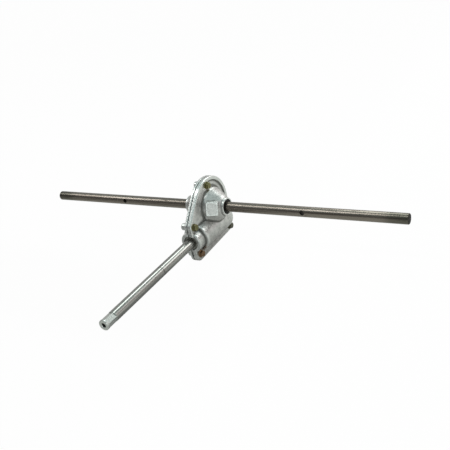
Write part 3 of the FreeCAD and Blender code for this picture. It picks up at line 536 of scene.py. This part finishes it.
def makeCasting(name, node):
    use = casting
    source = nodes[node].data.copy()
    welded = bmesh.new()
    welded.from_mesh(source)
    bmesh.ops.remove_doubles(welded, verts=welded.verts, dist=use["weld"])
    welded.to_mesh(source)
    welded.free()
    rough = bpy.data.objects.new(name + "Rough", source)
    bpy.context.scene.collection.objects.link(rough)
    remesh = rough.modifiers.new("skin", "REMESH")
    remesh.mode = "VOXEL"
    remesh.voxel_size = use["skin"] * mm
    ready = rough.evaluated_get(bpy.context.evaluated_depsgraph_get())
    mesh = bpy.data.meshes.new_from_object(ready)
    bpy.data.objects.remove(rough)
    edges = readOut(mesh.edges, "vertices", 2, np.int64)
    points = relaxed(readOut(mesh.vertices, "co", 3), edges, use["relax"])
    mesh.vertices.foreach_set("co", points.ravel())
    mesh.update()
    normals = readOut(mesh.vertices, "normal", 3)
    wide = relaxed(points, edges, use["spread"], keep=False)
    depth = np.sum((wide - points) * normals, 1) / (use["hollowDepth"] * mm)
    hollow = mesh.attributes.new("hollow", "FLOAT", "POINT")
    hollow.data.foreach_set("value", np.clip(depth, -1, 1).astype(np.float32))
    mesh.polygons.foreach_set("use_smooth", np.ones(len(mesh.polygons), dtype=bool))
    piece = addPiece(name, mesh, "casting", "casing")
    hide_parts(node)
    print(name, len(mesh.vertices), "points")


makeCasting("rightCasting", "right_case")
makeCasting("leftCasting", "left_case")


# Studio

studio = {
    "floorHeight": -80.2,  # mm
    "floorSize": 14,  # metres
    # painted shade: the floor is darker at the left, as far as under the casing
    "floorLeft": (0.64, 0.62, 0.59),
    "floorRight": (0.85, 0.82, 0.79),
    "floorRightEdge": (0.0, 0.2),  # metres along x
    # painted shadow: a dark band on the floor just in front of the casing
    "floorNear": (0.26, 0.255, 0.25),  # a band across the floor just in front of the casing
    "floorNearStart": (-0.16, -0.06),  # metres along y
    "floorNearEnd": (-0.38, -0.28),
    "floorWhite": 0.98,  # share of plain white that the camera sees on the floor
    "mirroredWhite": 0.12,  # share that mirrors on metal, of floor and room
    "roomFront": (0.10, 0.10, 0.10),
    "roomBack": (0.81, 0.79, 0.77),
    "roomFrontEdge": (-0.85, 0.3),  # the y of a direction
    "roomLeft": (0.46, 0.46, 0.45),
    "roomLeftEdge": (-0.6, -0.15),  # its x
    "roomAbove": (0.44, 0.57, 0.555),
    "roomAboveEdge": (0.42, 0.82),  # its z
}


# the share of plain white that each kind of ray sees
def whiteShare(paint, seen):
    straight = paint.rays("Is Camera Ray") + paint.rays("Is Transmission Ray")
    return straight * seen + paint.rays("Is Glossy Ray") * studio["mirroredWhite"]


def makeFloor():
    use = studio
    paint = Recipe("paleFloor")
    across, away = paint.axes(paint.place())[:2]
    # the floor's colour holds a painted shadow in a band in front of the casing, and painted shade on its
    # left
    paper = paint.blend(away.rise(*use["floorNearStart"]), use["floorNear"], use["floorLeft"])
    paper = paint.blend(away.rise(*use["floorNearEnd"]), use["floorLeft"], paper)
    paper = paint.blend(across.rise(*use["floorRightEdge"]), paper, use["floorRight"])
    matt = paint.add("ShaderNodeBsdfDiffuse", {}, {"Color": paper})
    paint.showWhite(
        whiteShare(paint, use["floorWhite"]), matt, "ShaderNodeEmission", "ShaderNodeOutputMaterial",
    )
    half = use["floorSize"] / 2
    height = use["floorHeight"] * mm
    mesh = bpy.data.meshes.new("floor")
    mesh.from_pydata(
        [(-half, -half, height), (half, -half, height), (half, half, height), (-half, half, height)],
        [], [(0, 1, 2, 3)],
    )
    mesh.materials.append(paint.material)
    floor = bpy.data.objects.new("floor", mesh)
    bpy.context.scene.collection.objects.link(floor)


# a soft room: dark in front, pale behind, grey at the left and cooler above; the camera sees white
def makeRoom():
    use = studio
    world = bpy.data.worlds.new("studio")
    bpy.context.scene.world = world
    paint = Recipe(world)
    side, depth, height = paint.axes(paint.add("ShaderNodeTexCoord", output="Generated"))
    walls = paint.blend(side.rise(*use["roomLeftEdge"]), use["roomLeft"], use["roomBack"])
    walls = paint.blend(depth.rise(*use["roomFrontEdge"]), use["roomFront"], walls)
    room = paint.blend(height.rise(*use["roomAboveEdge"]), walls, use["roomAbove"])
    light = paint.add("ShaderNodeBackground", {}, {"Color": room, "Strength": 1})
    paint.showWhite(whiteShare(paint, 1), light, "ShaderNodeBackground", "ShaderNodeOutputWorld")


# places and sizes are in metres, along is the way that the first size runs,
# and glow is the brightness of the lamp's face, where 1 is white
lamps = {
    "leftStrip": {
        "place": (-0.88, -0.38, 1.40), "along": (1, 0, 0), "size": (2.3, 0.28),
        "glow": 4.6, "tint": (1, 0.985, 0.97),
    },
    "backStrip": {
        "place": (-0.165, 0.975, 1.335), "along": (0, 1, 0), "size": (0.95, 0.42),
        "glow": 4.2, "tint": (0.93, 1, 0.97),
    },
    "sideLamp": {
        "place": (0.76, 1.24, 0.82), "along": (1, 0, 0), "size": (0.8, 0.65),
        "glow": 2.4, "tint": (0.97, 1, 0.975),
    },
    "frontLamp": {
        "place": (0.86, -1.50, 0.26), "along": (1, 0, 0), "size": (0.7, 0.55),
        "glow": 1.7, "tint": (0.89, 1, 0.985),
    },
}


# each lamp faces the origin
def makeLamps():
    for name, use in lamps.items():
        light = bpy.data.lights.new(name, "AREA")
        light.shape = "RECTANGLE"
        light.size, light.size_y = use["size"]
        light.energy = use["glow"] * math.pi * light.size * light.size_y
        light.color = use["tint"]
        lamp = bpy.data.objects.new(name, light)
        place = Vector(use["place"])
        back = place.normalized()
        along = Vector(use["along"])
        along = (along - back * along.dot(back)).normalized()
        turn = Matrix((along, back.cross(along), back)).transposed()
        lamp.matrix_world = Matrix.Translation(place) @ turn.to_4x4()
        lamp.visible_camera = False
        bpy.context.scene.collection.objects.link(lamp)


makeFloor()
makeRoom()
makeLamps()
print("studio lit")
